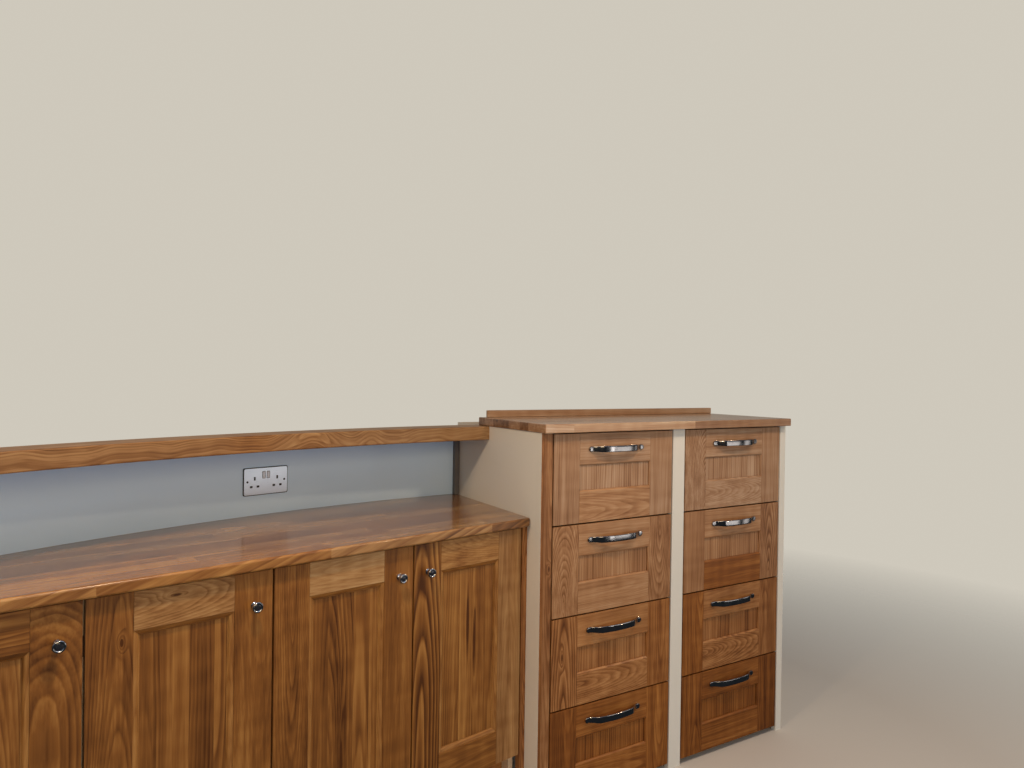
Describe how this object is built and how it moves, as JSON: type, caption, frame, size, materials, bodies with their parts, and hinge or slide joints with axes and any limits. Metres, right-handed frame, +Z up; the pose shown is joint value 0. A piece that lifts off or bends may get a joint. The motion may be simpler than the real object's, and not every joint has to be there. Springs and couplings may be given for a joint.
{
  "type": "fitted barge cabin cupboard and drawer run",
  "caption": "Oak cabin furniture run from a barge: low cupboards with a curved back under a worktop and ledge, beside a taller chest of drawers.",
  "frame": {"origin": "centre of the bounding box on the floor, below the run", "axes": "+X to the right along the front of the chest, +Y back towards the hull, +Z up"},
  "size_m": [2.7882, 0.8008, 1.2373],
  "materials": {
    "oak": "satin lacquered solid oak, honey brown",
    "dark_oak": "dark stained oak",
    "cream_paint": "board painted cream, satin",
    "birch_ply": "birch plywood, clear matt",
    "pewter": "pewter, polished",
    "brushed_steel": "brushed"
  },
  "bodies": {
    "carcass": {"chest_side_left": "cream_paint", "chest_side_right": "cream_paint", "chest_divider": "birch_ply", "chest_stile_left": "oak", "chest_strip_middle": "cream_paint", "chest_back": "birch_ply", "chest_top": "birch_ply", "chest_base_left": "dark_oak", "chest_base_right": "dark_oak", "chest_worktop": "oak", "chest_upstand": "oak", "cupboard_end_left": "oak", "cupboard_partition_left": "birch_ply", "cupboard_partition_right": "birch_ply", "cupboard_end_right": "birch_ply", "cupboard_bottom": "birch_ply", "cupboard_plinth": "oak", "cupboard_filler": "oak", "cupboard_back": "birch_ply", "cupboard_worktop": "oak", "hull_panel": "cream_paint", "ledge": "oak", "corner_batten": "dark_oak", "socket_plate": "brushed_steel"},
    "door_1": {"door_1_frame": "oak", "door_1_panel": "oak", "door_1_knob": "brushed_steel"},
    "door_2": {"door_2_frame": "oak", "door_2_panel": "oak", "door_2_knob": "brushed_steel"},
    "door_3": {"door_3_frame": "oak", "door_3_panel": "oak", "door_3_knob": "brushed_steel"},
    "door_4": {"door_4_frame": "oak", "door_4_panel": "oak", "door_4_knob": "brushed_steel"},
    "drawer_left_1": {"drawer_left_1_front": "oak", "drawer_left_1_box": "birch_ply", "drawer_left_1_handle": "pewter"},
    "drawer_left_2": {"drawer_left_2_front": "oak", "drawer_left_2_box": "birch_ply", "drawer_left_2_handle": "pewter"},
    "drawer_left_3": {"drawer_left_3_front": "oak", "drawer_left_3_box": "birch_ply", "drawer_left_3_handle": "pewter"},
    "drawer_left_4": {"drawer_left_4_front": "oak", "drawer_left_4_box": "birch_ply", "drawer_left_4_handle": "pewter"},
    "drawer_right_1": {"drawer_right_1_front": "oak", "drawer_right_1_box": "birch_ply", "drawer_right_1_handle": "pewter"},
    "drawer_right_2": {"drawer_right_2_front": "oak", "drawer_right_2_box": "birch_ply", "drawer_right_2_handle": "pewter"},
    "drawer_right_3": {"drawer_right_3_front": "oak", "drawer_right_3_box": "birch_ply", "drawer_right_3_handle": "pewter"},
    "drawer_right_4": {"drawer_right_4_front": "oak", "drawer_right_4_box": "birch_ply", "drawer_right_4_handle": "pewter"}
  },
  "joints": [
    {"name": "door_1_hinge", "type": "hinge", "parent": "carcass", "child": "door_1", "pos_m": [-1.33105, -0.37779, 0.525], "axis": [0, 0, -1], "range_deg": [0, 90]},
    {"name": "door_2_hinge", "type": "hinge", "parent": "carcass", "child": "door_2", "pos_m": [-0.93839, -0.31278, 0.525], "axis": [0, 0, -1], "range_deg": [0, 90]},
    {"name": "door_3_hinge", "type": "hinge", "parent": "carcass", "child": "door_3", "pos_m": [-0.54574, -0.24778, 0.525], "axis": [0, 0, -1], "range_deg": [0, 90]},
    {"name": "door_4_hinge", "type": "hinge", "parent": "carcass", "child": "door_4", "pos_m": [0.23464, -0.11859, 0.525], "axis": [0, 0, 1], "range_deg": [0, 85]},
    {"name": "drawer_left_1_slide", "type": "slide", "parent": "carcass", "child": "drawer_left_1", "axis": [0, -1, 0], "range_m": [0, 0.35]},
    {"name": "drawer_left_2_slide", "type": "slide", "parent": "carcass", "child": "drawer_left_2", "axis": [0, -1, 0], "range_m": [0, 0.35]},
    {"name": "drawer_left_3_slide", "type": "slide", "parent": "carcass", "child": "drawer_left_3", "axis": [0, -1, 0], "range_m": [0, 0.35]},
    {"name": "drawer_left_4_slide", "type": "slide", "parent": "carcass", "child": "drawer_left_4", "axis": [0, -1, 0], "range_m": [0, 0.35]},
    {"name": "drawer_right_1_slide", "type": "slide", "parent": "carcass", "child": "drawer_right_1", "axis": [0, -1, 0], "range_m": [0, 0.35]},
    {"name": "drawer_right_2_slide", "type": "slide", "parent": "carcass", "child": "drawer_right_2", "axis": [0, -1, 0], "range_m": [0, 0.35]},
    {"name": "drawer_right_3_slide", "type": "slide", "parent": "carcass", "child": "drawer_right_3", "axis": [0, -1, 0], "range_m": [0, 0.35]},
    {"name": "drawer_right_4_slide", "type": "slide", "parent": "carcass", "child": "drawer_right_4", "axis": [0, -1, 0], "range_m": [0, 0.35]}
  ]
}
